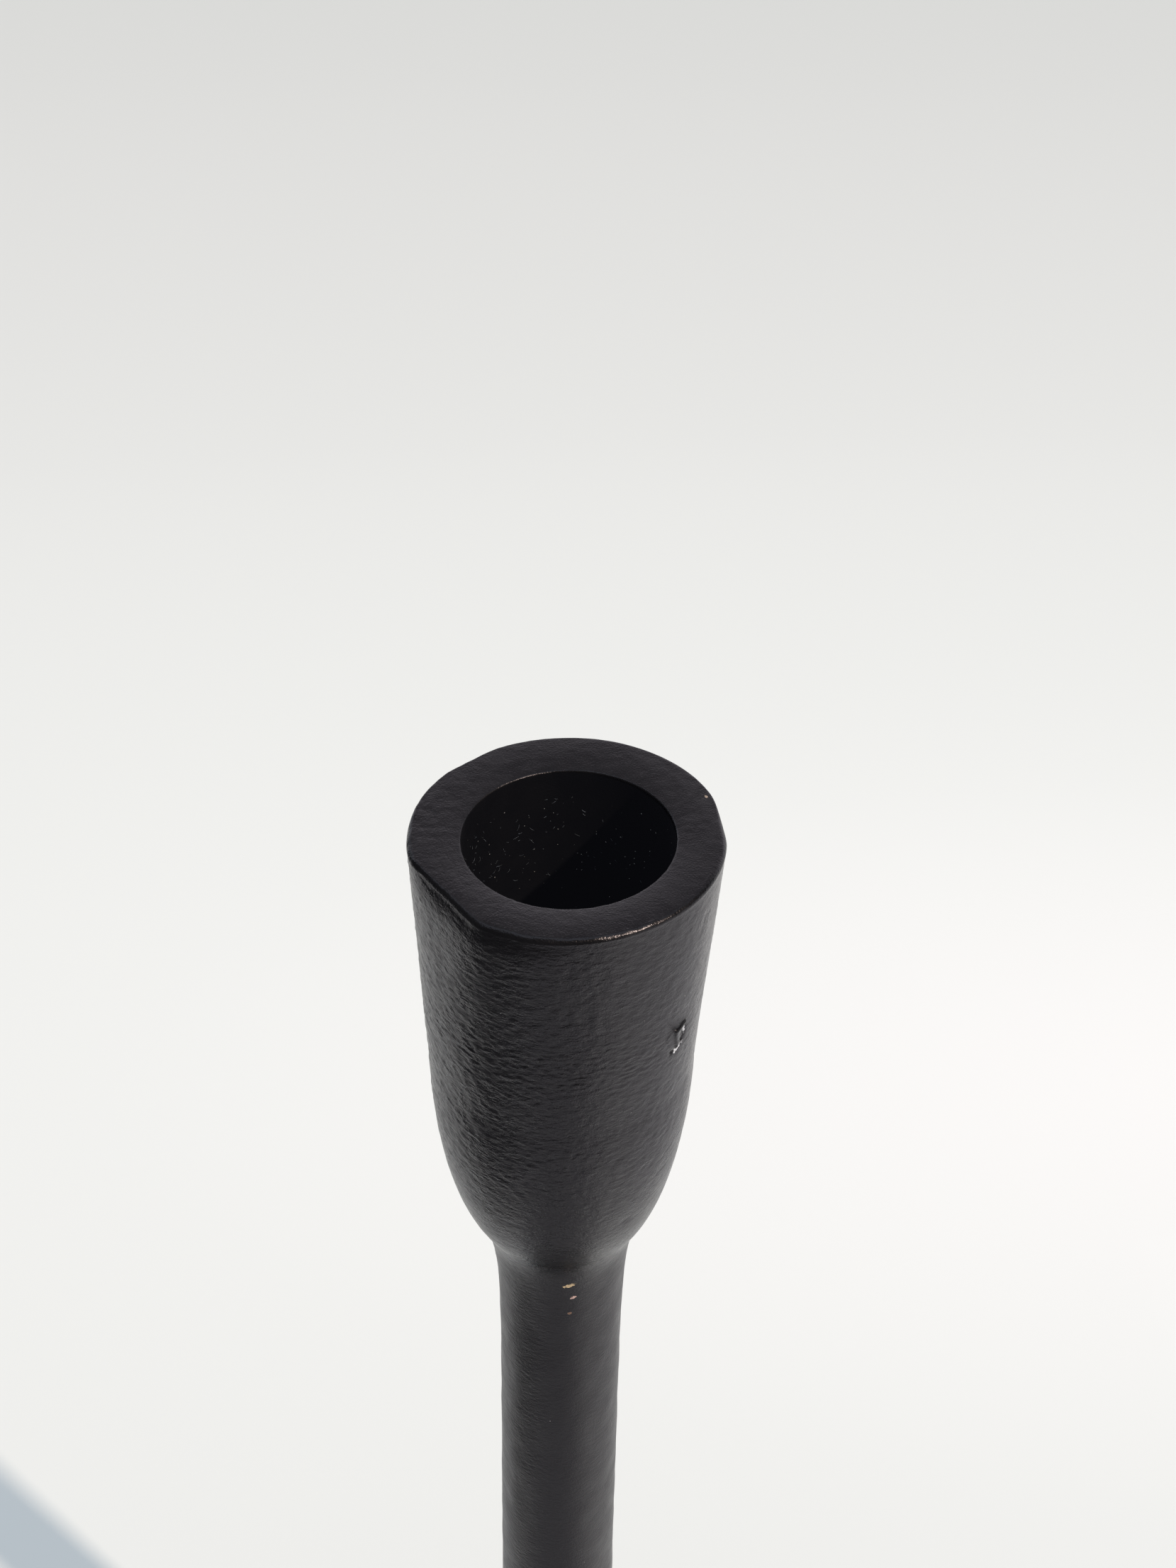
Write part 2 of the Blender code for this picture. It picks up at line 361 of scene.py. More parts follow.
def crowded(start, end, step, spots):
    """Depths from start to end, a step apart, and closer where a spot (middle, width, how
    many times as close) asks for it: equal shares of the density fall between them."""
    fine = np.linspace(start, end, 4000)
    density = np.ones_like(fine)
    for middle, width, times in spots:
        density += (times - 1.0) * np.exp(-(((fine - middle) / width) ** 2))
    total = np.concatenate([[0.0], np.cumsum(0.5 * (density[1:] + density[:-1]))])
    total *= (end - start) / (len(fine) - 1)
    count = int(round(total[-1] / step)) + 1
    return np.interp(np.linspace(0.0, total[-1], count), total, fine)


BLISTER_SIDE, BLISTER_DEPTH = -39.0, 20.0  # where the skin has a small blister

depths = crowded(RIM_ROUND, 40.0, 0.34, [(BLISTER_DEPTH, 2.6, 3.2)])
wall_rows = np.stack([body_radius(depths), RIM_HEIGHT - depths], -1)
depths = np.linspace(40.0, 66.0, 77)
neck_rows = np.stack([body_radius(depths), RIM_HEIGHT - depths], -1)
flare_top = SHOULDER_PLANE + FOOT_EDGE + FLARE_HEIGHT
depths = crowded(66.0, RIM_HEIGHT - flare_top, 1.7, [(85.0, 55.0, 2.0)])
stem_rows = np.stack([body_radius(depths), RIM_HEIGHT - depths], -1)
turn = np.linspace(0.0, 0.5 * math.pi, 22)[1:]
flare_rows = np.stack(
    [
        STEM_LOWER_RADIUS + (FOOT_RADIUS - STEM_LOWER_RADIUS) * (1.0 - np.cos(turn)),
        flare_top - FLARE_HEIGHT * np.sin(turn),
    ],
    -1,
)
rim_edge = RIM_RADIUS - RIM_ROUND
bands = [
    (
        SOCKET_COLUMNS,
        [
            straight((0.6, RIM_HEIGHT - SOCKET_DEPTH), (10.4, RIM_HEIGHT - SOCKET_DEPTH), 1.3),
            arc(10.4, RIM_HEIGHT - SOCKET_DEPTH + 0.8, 0.8, -90, 0, 4),
            straight(
                (SOCKET_RADIUS, RIM_HEIGHT - SOCKET_DEPTH + 2.0),
                (SOCKET_RADIUS, RIM_HEIGHT - 1.6),
                1.1,
            ),
        ],
    ),
    (
        WALL_COLUMNS,
        [
            straight((SOCKET_RADIUS, RIM_HEIGHT - 1.1), (SOCKET_RADIUS, RIM_HEIGHT - 0.6), 0.5),
            arc(SOCKET_RADIUS + MOUTH_ROUND, RIM_HEIGHT - MOUTH_ROUND, MOUTH_ROUND, 180, 90, 6),
            straight(
                (SOCKET_RADIUS + MOUTH_ROUND + 0.2, RIM_HEIGHT), (rim_edge - 0.2, RIM_HEIGHT), 0.27
            ),
            arc(rim_edge, RIM_HEIGHT - RIM_ROUND, RIM_ROUND, 90, 8, 9),
            wall_rows,
        ],
    ),
    (SOCKET_COLUMNS, [neck_rows[1:]]),
    (
        STEM_COLUMNS,
        [
            stem_rows[1:],
            flare_rows,
            arc(FOOT_RADIUS - 0.3, SHOULDER_PLANE + 0.3, 0.3, 0, -90, 4),
            straight((FOOT_RADIUS - 1.0, SHOULDER_PLANE), (SPIGOT_RADIUS, SHOULDER_PLANE), 2.5),
            straight((SPIGOT_RADIUS, SHOULDER_PLANE - 0.4), (SPIGOT_RADIUS, SPIGOT_END + 0.3), 1.0),
            straight((SPIGOT_RADIUS - 0.3, SPIGOT_END), (TAPPED_RADIUS, SPIGOT_END), 1.6),
            straight((TAPPED_RADIUS, SPIGOT_END + 0.3), (TAPPED_RADIUS, TAPPED_END), 1.5),
        ],
    ),
]


def azimuths(columns):
    """Bearings of the columns in degrees, crowded towards the front and round the blister,
    so that equal shares of the density fall between them. Every second one of a finer band is
    one of a coarser band."""
    fine = np.linspace(-180.0, 180.0, 7201)
    density = 1.0 + 0.42 * np.cos(np.radians(fine + 85.0))
    density += 2.0 * np.exp(-(((fine - BLISTER_SIDE) / 8.0) ** 2))
    total = np.concatenate([[0.0], np.cumsum(0.5 * (density[1:] + density[:-1]))])
    return np.interp(np.arange(columns) / columns * total[-1], total, fine)


def line_distance(across, down, corners):
    """Distance to a bent line: the least of the distances to its straight parts."""
    nearest = np.full(np.shape(across), 1e9)
    for (x, y), (to_x, to_y) in zip(corners[:-1], corners[1:]):
        side_x, side_y = to_x - x, to_y - y
        t = ((across - x) * side_x + (down - y) * side_y) / (side_x**2 + side_y**2)
        t = np.clip(t, 0.0, 1.0)
        nearest = np.minimum(nearest, np.hypot(across - x - t * side_x, down - y - t * side_y))
    return nearest


# The blister's creases, as bent lines: millimetres to the right of its middle and down.
OUTER_CREASE = (
    (1.62, -1.5), (1.74, -1.0), (1.70, -0.2), (1.60, 0.78), (1.15, 1.45), (0.6, 1.9), (-0.2, 1.75),
)
INNER_CREASE = (
    (1.50, -1.15), (1.30, -0.86), (1.02, -0.30), (1.04, 0.30), (1.18, 0.80), (1.40, 1.2),
)

# The flats dressed on the rim: bearing, distance from the axis, and softness of the ends.
STEEP_FLAT = -143.0
RIM_FLATS = [(STEEP_FLAT, 15.5, 0.18), (131.0, 16.36, 0.08)]
RIM_FLATS += [(10.0, 16.32, 0.12), (-112.0, 16.5, 0.05)]

# Pits left by single grains of sand: bearing, depth below the rim, half size and deepness.
random = np.random.default_rng(12)
PITS = [(-55.2, 47.4, 0.55, 0.10), (-78.9, 2.9, 0.22, 0.07), (-66.1, 8.8, 0.2, 0.06)]
PITS += [(-57.1, 10.2, 0.2, 0.06), (-42.3, 6.2, 0.2, 0.06), (-75.0, 14.2, 0.2, 0.05)]
PIT_RANGES = ((-180, 180), (1.5, 58), (0.14, 0.30), (0.02, 0.06))
PITS += list(zip(*(random.uniform(low, high, 70) for low, high in PIT_RANGES)))


def turned_by(azimuth, bearing):
    """The angle from a bearing to each azimuth in radians, from half a turn back to half on."""
    return np.radians((azimuth - bearing + 180.0) % 360.0 - 180.0)


def edge_drawn(bearing, radius, height, share, outside, on_rim):
    """Radius and height with the rim's outer round at its full size in front and drawn
    together towards its corner at the back. The rim's top is drawn out with it, in
    proportion to its share of the width, and the wall is drawn up, less with depth."""
    depth = RIM_HEIGHT - height
    sharp = BACK_SHARPNESS + (1.0 - BACK_SHARPNESS) * smooth_step(np.sin(bearing), 0.35, 0.0)
    spare = (1.0 - sharp) * RIM_ROUND * (depth < NEAR_RIM)
    rounded = (outside > 0.0) & (radius > rim_edge + 1e-9) & (depth < RIM_ROUND)
    drawn = np.clip((3.0 * RIM_ROUND - depth) / (2.0 * RIM_ROUND), 0.0, 1.0)
    drawn = np.where(rounded, depth / RIM_ROUND, drawn)
    height = height + outside * (1.0 - on_rim) * spare * drawn
    drawn_in = RIM_RADIUS - sharp * (RIM_RADIUS - radius)
    return np.where(rounded, drawn_in, radius + on_rim * share * spare), height


def rim_cut(azimuth, below):
    """How far the outline lies inside the full circle, at distances below the rim's round:
    the casting was dressed flat in places, and each flat is a chord at its own distance
    from the axis, met by the circle in a softened corner. The cut dies away down the wall
    as an exponential, and at the steep flat as the sum of a fast one and a slower one."""
    total = np.zeros_like(azimuth)
    for bearing, distance, softness in RIM_FLATS:
        chord = distance / np.maximum(np.cos(turned_by(azimuth, bearing)), 0.2)
        total = total + softness * np.logaddexp(0.0, (RIM_RADIUS - chord) / softness)
    steep = 0.6 * np.exp(-below / 0.9) + 0.4 * np.exp(-below / 4.0)
    gentle = np.exp(-below / 9.0)
    at_steep = smooth_step(np.abs(azimuth - STEEP_FLAT), 45.0, 30.0)
    return total * (at_steep * steep + (1.0 - at_steep) * gentle)


def mould(azimuth, depth, place):
    """Unevenness of the mould: broad noise, noise in the size of the sand's lumps, and the
    swelling under the rim, which rises as a smooth step, falls off downwards as the
    exponential of a square, and to both sides as that of a fourth power."""
    fall = np.exp(-((np.maximum(depth - SWELLING_TOP, 0.0) / 15.0) ** 2))
    swelling = smooth_step(depth, -0.3, SWELLING_TOP) * fall
    swelling = swelling * np.exp(-(((azimuth - SWELLING_SIDE) / 23.0) ** 4))
    broad = 0.050 * grain(place, (9.0, 9.0, 11.0), 1)
    return broad + 0.012 * grain(place, (3.6, 3.6, 3.0), 2) + SWELLING_HEIGHT * swelling


def wrinkles(azimuth, radius, share, depth, place, outside, on_rim):
    """Leathery wrinkles in the paint: noise that is long across the wall and the crests of a
    like one (a half less its size), both bent by a slow noise, and a finer noise. They are
    strongest at the front left and high up, calmer under the rim there and on the rim's
    edge and top, and nearly gone in the socket. The mouth's edge and the stem have a noise
    of their own."""
    warp = 0.4 * np.stack([grain(place, 3.0, 3), grain(place, 3.0, 4), grain(place, 3.0, 5)], -1)
    side = 0.78 + 0.58 * np.cos(np.radians(azimuth - WRINKLE_SIDE))
    wall = side * (0.25 + 0.75 * smooth_step(depth, 54.0, 34.0)) * (0.04 + 0.96 * outside)
    under_rim = np.exp(-(((azimuth + 120.0) / 28.0) ** 4)) * smooth_step(depth, 5.0, 2.2)
    wall = wall * (1.0 - 0.65 * under_rim)
    top = (0.16 + 0.34 * smooth_step(place[..., 1], -6.0, 4.0)) * smooth_step(share, -0.04, 0.08)
    edge = smooth_step(depth, 0.0, 0.25) * smooth_step(depth, 1.4, 0.8)
    strength = np.where(on_rim, top, wall) * (1.0 - 0.8 * edge)
    long = grain(place + warp, (1.25, 1.25, 0.50), 6)
    crest = 0.5 - np.abs(grain(place + warp, (1.7, 1.7, 0.62), 7))
    fine = grain(place, (0.7, 0.7, 0.42), 8)
    mouth = np.exp(-(((radius - SOCKET_RADIUS - 0.13) / 0.22) ** 2)) * (depth < 0.9)
    stem = smooth_step(depth, 60.0, 72.0) * outside
    return (
        strength * (0.052 * long + 0.034 * crest + 0.028 * fine)
        + MOUTH_NOISE * mouth * grain(place, (0.75, 0.75, 0.6), 13)
        + STEM_NOISE * stem * grain(place, (2.8, 2.8, 4.0), 9)
    )


def blister(azimuth, radius, depth):
    """The blister's share, 1 within its outline and 0 outside it, and its height: a low
    shelf on the left, then a step up and a slope that falls to the right, less two creases
    whose depth falls off as the exponential of the squared distance to their bent lines."""
    across = np.radians(azimuth - BLISTER_SIDE) * radius
    down = depth - BLISTER_DEPTH
    near = (np.abs(across) < 8.0) & (np.abs(down) < 8.0)
    left_side = 1.52 - 0.50 * np.maximum(down + 1.0, 0.0) - 0.95 * np.maximum(-1.0 - down, 0.0)
    within = smooth_step(down + 0.04 * across, -1.82, -1.66) * smooth_step(down, 2.2, 1.2)
    within = within * smooth_step(across, -left_side - 0.12, -left_side + 0.12)
    within = near * within * smooth_step(across, 1.9, 1.6)
    rise = np.clip((1.25 - across) / 1.3, 0.0, 1.0)
    step = smooth_step(across + 0.10 - 0.20 * down, -0.12, 0.30)
    upper = np.exp(-(((down + 1.6) / 0.4) ** 2))
    shelf = within * (0.10 + step * (0.03 + 0.22 * rise + 0.08 * upper))
    outer = line_distance(across, down, OUTER_CREASE)
    inner = line_distance(across, down, INNER_CREASE)
    creases = 0.23 * np.exp(-((outer / 0.21) ** 2)) + 0.13 * np.exp(-((outer / 0.50) ** 2))
    creases = creases * smooth_step(down, -1.5, -0.7)
    creases = creases + 0.20 * np.exp(-((inner / 0.18) ** 2)) * smooth_step(down, -1.1, -0.6)
    return within, shelf - near * creases


def pitted(azimuth, radius, depth):
    """How deep the pits are: each falls off as the exponential of the squared distance from
    its middle, and is a little wider than it is tall."""
    total = np.zeros_like(azimuth)
    for side, down, size, deepness in PITS:
        away = turned_by(azimuth, side) * radius
        apart = (away / (1.3 * size)) ** 2 + ((depth - down) / size) ** 2
        total = total + deepness * np.exp(-apart) * (apart < 9.0)
    return total


def skin(azimuth, radius, height, out, up, outside, on_rim):
    """A point of the casting's surface for each bearing, profile radius and height, with the
    profile's normal (out, up); outside goes from 0 in the socket to 1 on the wall. It is the
    turned shape with its rim's edge drawn and its flats cut, leaning a little, and with a
    tilted and crowned rim: the crown falls as the square of the distance from its top. The
    point is then moved along the normal by the mould, the wrinkles, the blister and the
    pits."""
    azimuth, radius, height, out, up, outside, on_rim = np.broadcast_arrays(
        azimuth, radius, height, out, up, outside, on_rim
    )
    bearing = np.radians(azimuth)
    below = np.maximum(RIM_HEIGHT - height - RIM_ROUND, 0.0)
    share = np.clip((radius - SOCKET_RADIUS) / (rim_edge - SOCKET_RADIUS), 0.0, 1.0)
    radius, height = edge_drawn(bearing, radius, height, share, outside, on_rim)
    depth = RIM_HEIGHT - height

    cut_radius = radius - rim_cut(azimuth, below) * np.where(on_rim, share**2, outside)
    lean = CUP_LEAN * smooth_step(depth, -6.0, 30.0) * (1.0 - smooth_step(depth, 45.0, 75.0))
    x = cut_radius * np.cos(bearing) - outside * lean + (1.0 - outside) * SOCKET_OFFSET[0]
    y = cut_radius * np.sin(bearing) + (1.0 - outside) * SOCKET_OFFSET[1]
    z = height + RIM_TILT * x * np.exp(-((depth / 14.0) ** 2)) * (depth < 60.0)
    crown = RIM_CROWN * (share - CROWN_SHARE) ** 2 * np.exp(-depth / 2.0) * (depth < NEAR_RIM)
    place = np.stack([x, y, z - crown], -1)

    push = outside * mould(azimuth, depth, place)
    push = push + wrinkles(azimuth, radius, share, depth, place, outside, on_rim)
    on_blister, raised = blister(azimuth, radius, depth)
    push = push * (1.0 - 0.6 * outside * on_blister) + outside * raised
    push = push - outside * pitted(azimuth, radius, depth)
    normal = np.stack([out * np.cos(bearing), out * np.sin(bearing), up], -1)
    return place + push[..., None] * normal


def turned_body():
    """The whole casting as one closed skin: rings along the profile, from the middle of the
    socket's floor to the end of the tapped hole, with half as many columns from one band to
    the next where the skin is plainer, joined by strips of triangles."""
    counts = np.concatenate([np.full(sum(map(len, rows)), columns) for columns, rows in bands])
    profile = np.concatenate([row for _, rows in bands for row in rows])
    along = np.gradient(profile, axis=0)
    along /= np.linalg.norm(along, axis=1, keepdims=True)
    out, up = -along[:, 1], along[:, 0]
    at_rim = np.flatnonzero(profile[:, 1] >= RIM_HEIGHT - 1e-9)
    foot = int(np.argmax(profile[:, 1] <= SHOULDER_PLANE + 1e-9))
    points, rings, first = [], [], 0
    for ring, (columns, (radius, height)) in enumerate(zip(counts, profile)):
        azimuth = azimuths(columns)
        on_rim = at_rim[0] <= ring <= at_rim[-1]
        if on_rim:
            outside = np.clip((radius - SOCKET_RADIUS) / (rim_edge - SOCKET_RADIUS), 0.0, 1.0)
        else:
            outside = float(at_rim[-1] < ring < foot)
        if ring < foot:
            points.append(skin(azimuth, radius, height, out[ring], up[ring], outside, on_rim))
        else:
            points.append(around_axis(radius, np.radians(azimuth), height))
        rings.append(np.arange(first, first + columns))
        first += columns
    faces = []
    for upper, lower in zip(rings[:-1], rings[1:]):
        if len(upper) == len(lower):
            faces += np.stack([upper, np.roll(upper, -1), np.roll(lower, -1), lower], -1).tolist()
            continue
        more, fewer = (upper, lower) if len(upper) > len(lower) else (lower, upper)
        even, odd, after = more[0::2], more[1::2], np.roll(more[0::2], -1)
        strip = [
            np.stack([even, odd, fewer], -1),
            np.stack([odd, np.roll(fewer, -1), fewer], -1),
            np.stack([odd, after, np.roll(fewer, -1)], -1),
        ]
        order = slice(None) if more is upper else slice(None, None, -1)
        faces += [triangle[order] for part in strip for triangle in part.tolist()]
    middle_low = [SOCKET_OFFSET[0], SOCKET_OFFSET[1], RIM_HEIGHT - SOCKET_DEPTH]
    middle_end = [0.0, 0.0, TAPPED_END + TAPPED_RADIUS / 2]
    points.append(np.array([middle_low, middle_end]))
    start, end = rings[0], rings[-1]
    faces += [[first, b, a] for a, b in zip(start.tolist(), np.roll(start, -1).tolist())]
    faces += [[a, b, first + 1] for a, b in zip(end.tolist(), np.roll(end, -1).tolist())]
    return np.concatenate(points), faces


def vector_math(tree, operation, *values):
    """A Vector Math node, from vectors and sockets."""
    return node(tree, "ShaderNodeVectorMath", dict(enumerate(values)), operation=operation)


def noise(tree, place, size, detail=2.0, roughness=0.5, stretch=(1.0, 1.0, 1.0)):
    """Noise whose grains are about size millimetres, stretched along x, y and z."""
    squeeze = {"Scale": tuple(1.0 / s for s in stretch), "Vector": place}
    vector = node(tree, "ShaderNodeMapping", squeeze).outputs["Vector"]
    look = {"Vector": vector, "Scale": 1000.0 / size, "Detail": detail, "Roughness": roughness}
    return node(tree, "ShaderNodeTexNoise", look).outputs["Fac"]


def mixed(tree, share, first, second):
    """Two colours mixed by a share."""
    inputs = {0: share, 6: first, 7: second}  # the factor, and the two colours
    return node(tree, "ShaderNodeMix", inputs, data_type="RGBA").outputs[2]


def black_paint(tree, cloud, lumps):
    """The paint's colour: a nearly even black, a shade paler where both noises run high."""
    thin = product(tree, between(tree, cloud, 0.35, 0.75), between(tree, lumps, 0.4, 0.7))
    return mixed(tree, thin, PAINT_BLACK, PAINT_WORN)


def dust_specks(tree, place, scale, far, near, least):
    """A mask of specks: near the middle of each of the cells of a Voronoi pattern whose
    random number is more than the least."""
    cells = node(tree, "ShaderNodeTexVoronoi", {"Vector": place, "Scale": scale})
    number = node(tree, "ShaderNodeSeparateXYZ", {"Vector": cells.outputs["Color"]}).outputs["X"]
    chosen = maths(tree, "GREATER_THAN", number, least)
    return product(tree, between(tree, cells.outputs["Distance"], far, near), chosen)


def bumped(tree, shader, *layers):
    """Bumps laid one over another, each from a strength, a distance and a height."""
    below = {}
    for strength, distance, height in layers:
        inputs = {"Strength": strength, "Distance": distance, "Height": height}
        bump = node(tree, "ShaderNodeBump", {**inputs, **below})
        below = {"Normal": bump.outputs["Normal"]}
    tree.links.new(below["Normal"], shader.inputs["Normal"])


def patch(tree, place, bearing, depth, radius, halves, tilt=0.0, ragged=None, core=0.80):
    """A mask, 1 inside a small ellipsoid on the casting's skin and 0 outside it. It lies at a
    bearing in degrees and a depth below the rim, in millimetres, with half sizes outwards,
    along the wall and upwards, and is tilted in the plane of the wall. A ragged noise eats
    into its edge, and the mask is whole within the share of its size that core gives."""
    turn = math.radians(bearing)
    centre = (
        0.001 * radius * math.cos(turn),
        0.001 * radius * math.sin(turn),
        0.001 * (RIM_HEIGHT - depth),
    )
    facing = Matrix.Rotation(turn, 3, "Z") @ Matrix.Rotation(math.radians(tilt), 3, "X")
    local = node(
        tree,
        "ShaderNodeMapping",
        {
            "Vector": place,
            "Location": centre,
            "Rotation": tuple(facing.to_euler()),
            "Scale": tuple(0.001 * half for half in halves),
        },
        vector_type="TEXTURE",
    )
    distance = vector_math(tree, "LENGTH", local.outputs["Vector"]).outputs["Value"]
    if ragged is not None:
        distance = maths(tree, "ADD", distance, between(tree, ragged, 0.3, 0.7, -0.35, 0.35))
    return between(tree, distance, 1.05, core)


PAINT_BLACK = (0.0048, 0.0046, 0.0054, 1.0)
PAINT_WORN = (0.0085, 0.0081, 0.0092, 1.0)
# painted shade: the socket's black, darker and bluer than the paint outside
SOCKET_PAINTED_SHADE = (0.0009, 0.0012, 0.0018, 1.0)
PAINT_GLOSS_TINT = (1.0, 0.93, 1.03, 1.0)
SOCKET_GLOW = (0.72, 0.74, 1.0, 1.0)
CHIP_GOLD = (0.50, 0.37, 0.22, 1.0)
CHIP_TAN = (0.36, 0.27, 0.21, 1.0)
CHIP_PINK = (0.50, 0.33, 0.29, 1.0)
CHIP_BROWN = (0.16, 0.095, 0.065, 1.0)
# painted highlight on the blister's raised folds
FOLD_PAINTED_HIGHLIGHT = (0.60, 0.61, 0.66, 1.0)
DUST_WHITE = (0.55, 0.54, 0.53, 1.0)

painted, tree, shader, place = new_material("satin_black_on_casting")
cloud = noise(tree, place, 9.0, 3.0)
lumps = noise(tree, place, 2.4, 2.0)
leather = noise(tree, place, 0.62, 3.0, 0.6, (1.7, 1.7, 0.75))
sand = noise(tree, place, 0.22, 2.0, 0.6)

# Chips in the paint at the neck and on the rim show the tan ground under it, and pale grey
# patches on the blister's creases are painted highlights, for the gleam off its raised folds.
chips_and_highlights = [
    (-82.6, 62.1, 8.45, (1.5, 0.80, 0.32), 22.0, CHIP_GOLD),
    (-78.7, 64.7, 8.05, (1.5, 0.38, 0.22), 24.0, CHIP_PINK),
    (-81.3, 67.8, 7.85, (1.5, 0.27, 0.22), 20.0, CHIP_BROWN),
    (23.4, 0.0, 15.9, (0.18, 0.24, 1.0), 0.0, CHIP_TAN),
    (BLISTER_SIDE + 3.1, BLISTER_DEPTH + 1.75, 15.6, (1.5, 0.80, 0.25), 36.0, FOLD_PAINTED_HIGHLIGHT),
    (BLISTER_SIDE + 6.6, BLISTER_DEPTH - 0.25, 15.6, (1.5, 0.13, 0.70), 2.0, FOLD_PAINTED_HIGHLIGHT),
]
colour = black_paint(tree, cloud, lumps)
chipped_and_highlit = None
for bearing, depth, radius, halves, tilt, tint in chips_and_highlights:
    mask = patch(tree, place, bearing, depth, radius, halves, tilt, sand)
    darker = [*(0.8 * part for part in tint[:3]), 1.0]
    shade = mixed(tree, between(tree, sand, 0.35, 0.65), tint, darker)
    colour = mixed(tree, mask, colour, shade)
    chipped_and_highlit = mask if chipped_and_highlit is None else maths(tree, "MAXIMUM", chipped_and_highlit, mask)

# Dust: white specks, thick in the socket below its clean mouth and scarce elsewhere.
height = node(tree, "ShaderNodeSeparateXYZ", {"Vector": place}).outputs["Z"]
flattened = vector_math(tree, "MULTIPLY", place, (1.0, 1.0, 0.0)).outputs["Vector"]
axis_distance = vector_math(tree, "LENGTH", flattened).outputs["Value"]
in_bore = product(
    tree,
    between(tree, axis_distance, 0.0119, 0.0116),
    between(tree, height, RIM_Z - 0.0003, RIM_Z - 0.0007),
    between(tree, height, RIM_Z - 0.032, RIM_Z - 0.030),
)
in_socket = product(tree, in_bore, between(tree, height, RIM_Z - 0.0016, RIM_Z - 0.0042))
scarce = maths(tree, "SUBTRACT", 0.997, product(tree, in_socket, 0.18))
speck = dust_specks(tree, place, 1900.0, 0.13, 0.06, scarce)
# Painted shade: the bore's black is painted darker and bluer, for the shade deep in the socket.
colour = mixed(tree, in_bore, colour, SOCKET_PAINTED_SHADE)
colour = mixed(tree, product(tree, speck, 0.8), colour, DUST_WHITE)
tree.links.new(colour, shader.inputs["Base Color"])
shader.inputs["Specular Tint"].default_value = PAINT_GLOSS_TINT

# Gloss: satin, duller where the skin is dusty or bare and on the blister's painted highlights,
# and weak in two places on the blister, where the paint has drawn back, and under the rim at the
# front left.
drawn_back = maths(
    tree,
    "MAXIMUM",
    patch(tree, place, BLISTER_SIDE + 1.5, BLISTER_DEPTH + 0.70, 15.4, (1.5, 0.42, 0.90), -22.0),
    patch(tree, place, BLISTER_SIDE + 3.3, BLISTER_DEPTH - 1.78, 15.4, (1.5, 1.45, 0.24), 12.0),
)
dull = between(tree, lumps, 0.3, 0.7, 0.23, 0.31, smooth=False)
dull = maths(tree, "ADD", dull, product(tree, in_bore, 0.30))
dull = maths(tree, "ADD", dull, between(tree, height, RIM_Z - 0.056, RIM_Z - 0.064, 0.0, 0.10))
dull = maths(tree, "ADD", dull, product(tree, chipped_and_highlit, 0.4), clamp=True)
tree.links.new(dull, shader.inputs["Roughness"])
matt = maths(tree, "MAXIMUM", product(tree, in_bore, 0.75), drawn_back)
under_rim = patch(tree, place, -114.0, 2.2, 16.2, (4.0, 7.5, 2.4), core=0.35)
matt = maths(tree, "MAXIMUM", matt, product(tree, under_rim, 0.50))
gloss = between(tree, matt, 0.0, 1.0, 0.5, 0.16, smooth=False)
tree.links.new(gloss, shader.inputs["Specular IOR Level"])

# The socket never looks fully black: a faint glow stands for the light scattered into it.
shader.inputs["Emission Color"].default_value = SOCKET_GLOW
tree.links.new(product(tree, in_bore, 0.0030), shader.inputs["Emission Strength"])

# Skin: fine wrinkles, and the sand under them. The wrinkles are calmer low down, in the
# socket, on the rim and at the back right.
low_down = between(tree, height, RIM_Z - 0.036, RIM_Z - 0.056)
back_right = (math.cos(math.radians(30.0)), math.sin(math.radians(30.0)), 0.0)
turned_away = vector_math(tree, "DOT_PRODUCT", place, back_right).outputs["Value"]
calm = product(
    tree,
    between(tree, low_down, 0.0, 1.0, 1.0, 0.55, smooth=False),
    maths(tree, "MULTIPLY_ADD", in_bore, -0.85, 1.0),
    between(tree, height, RIM_Z - 0.0007, RIM_Z - 0.0004, 1.0, 0.38),
    between(tree, turned_away, -0.014, 0.008, 1.0, 0.45),
    0.9,
)
bumped(tree, shader, (calm, 0.00020, leather), (0.75, 0.00005, sand))

body_points, body_faces = turned_body()
body = mesh_object("cup_and_stem_casting", body_points, body_faces, painted)
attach(body, "root")
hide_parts("cup_and_stem")

# ------------------------------------------------------------------ lint
# Short fibres of pale lint that a cloth has left, caught on the rough back left part of the
# socket's wall. They only lie there.
LINT_RADIUS = 0.009
LINT_SIDES = 4
LINT_STEPS = 9
LINT_WHITE = (0.25, 0.28, 0.34, 1.0)
LINT_GREY = (0.07, 0.08, 0.10, 1.0)
lint_white, tree, shader, place = new_material("white_lint")
greyed = between(tree, noise(tree, place, 1.2, 2.0), 0.3, 0.7)
tree.links.new(mixed(tree, greyed, LINT_WHITE, LINT_GREY), shader.inputs["Base Color"])
shader.inputs["Roughness"].default_value = 0.8
shader.inputs["Sheen Weight"].default_value = 0.2


def fibre(start, along, curl, length, radius):
    """A thin tube along a bent line: start + along t + curl (4t - 4t^2), with t from 0 to 1
    and the tube drawn out to a point at both ends."""
    t = np.linspace(0.0, 1.0, LINT_STEPS)[:, None]
    line = start + along * length * t + curl * (4.0 * t - 4.0 * t * t)
    ahead = np.gradient(line, axis=0)
    ahead /= np.linalg.norm(ahead, axis=1, keepdims=True)
    side = np.cross(ahead, (0.31, 0.17, 0.93))
    side /= np.linalg.norm(side, axis=1, keepdims=True)
    other = np.cross(ahead, side)
    thick = radius * np.sqrt(np.clip(1.0 - (2.0 * t - 1.0) ** 4, 0.0, 1.0))[:, None]
    turn = np.arange(LINT_SIDES) / LINT_SIDES * 2.0 * math.pi
    ring = np.cos(turn)[:, None] * side[:, None] + np.sin(turn)[:, None] * other[:, None]
    return line[:, None] + thick * ring


